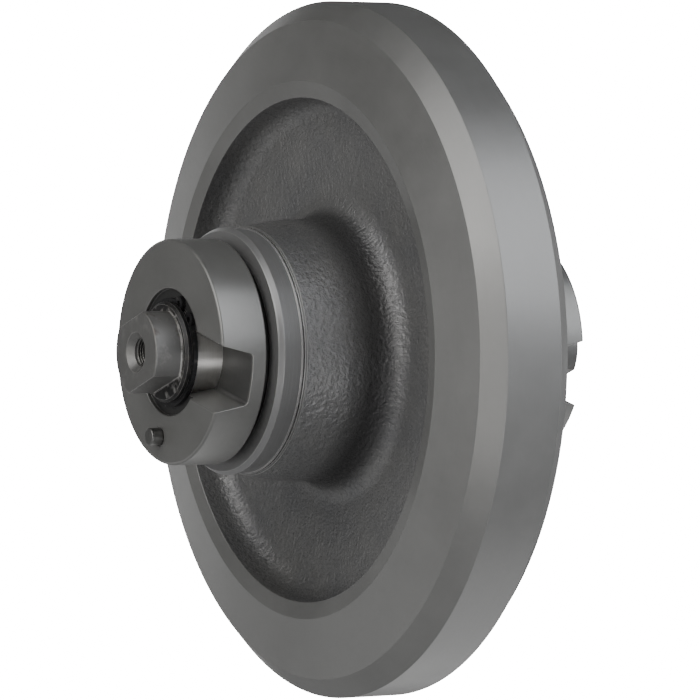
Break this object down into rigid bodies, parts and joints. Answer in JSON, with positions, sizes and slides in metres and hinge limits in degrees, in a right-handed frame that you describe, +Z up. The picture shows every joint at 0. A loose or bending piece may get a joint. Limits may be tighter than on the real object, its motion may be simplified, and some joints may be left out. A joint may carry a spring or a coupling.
{
  "type": "track roller",
  "caption": "Dished single-rim wheel that turns on a fixed shaft, with slotted, pinned end collars and floating face seals.",
  "frame": {"origin": "the wheel's centre, on the spin axis and in its middle plane", "axes": "+Y along the spin axis from the front end to the rear end, +Z up, +X to the right seen from the front"},
  "size_m": [0.3999, 0.279, 0.4],
  "materials": {
    "casting": "semi-matte dark grey primer on rough casting and turned rim",
    "ring_steel": "turned steel under thin grey primer",
    "collar_steel": "turned steel under grey primer",
    "shaft_steel": "ground seat, primed ends",
    "pin_steel": "ground",
    "spring_steel": "black oxide, oiled",
    "seal_iron": "lapped hard iron",
    "bronze": "turned bronze",
    "rubber": "oiled nitrile rubber"
  },
  "bodies": {
    "axle": {"shaft": "shaft_steel", "collar_front": "collar_steel", "dowel_pin_front": "pin_steel", "snap_ring_front": "spring_steel", "shaft_o_ring_front": "rubber", "fixed_seal_ring_front": "seal_iron", "fixed_toric_ring_front": "rubber", "oil_plug_front": "pin_steel", "collar_rear": "collar_steel", "dowel_pin_rear": "pin_steel", "snap_ring_rear": "spring_steel", "shaft_o_ring_rear": "rubber", "fixed_seal_ring_rear": "seal_iron", "fixed_toric_ring_rear": "rubber", "oil_plug_rear": "pin_steel"},
    "wheel": {"wheel_casting": "casting", "hub_ring_front": "ring_steel", "bush_front": "bronze", "turning_seal_ring_front": "seal_iron", "turning_toric_ring_front": "rubber", "hub_o_ring_front": "rubber", "hub_ring_rear": "ring_steel", "bush_rear": "bronze", "turning_seal_ring_rear": "seal_iron", "turning_toric_ring_rear": "rubber", "hub_o_ring_rear": "rubber"}
  },
  "joints": [
    {"name": "wheel_spin", "type": "hinge", "parent": "axle", "child": "wheel", "pos_m": [0, 0, 0], "axis": [0, 1, 0], "continuous": true}
  ]
}
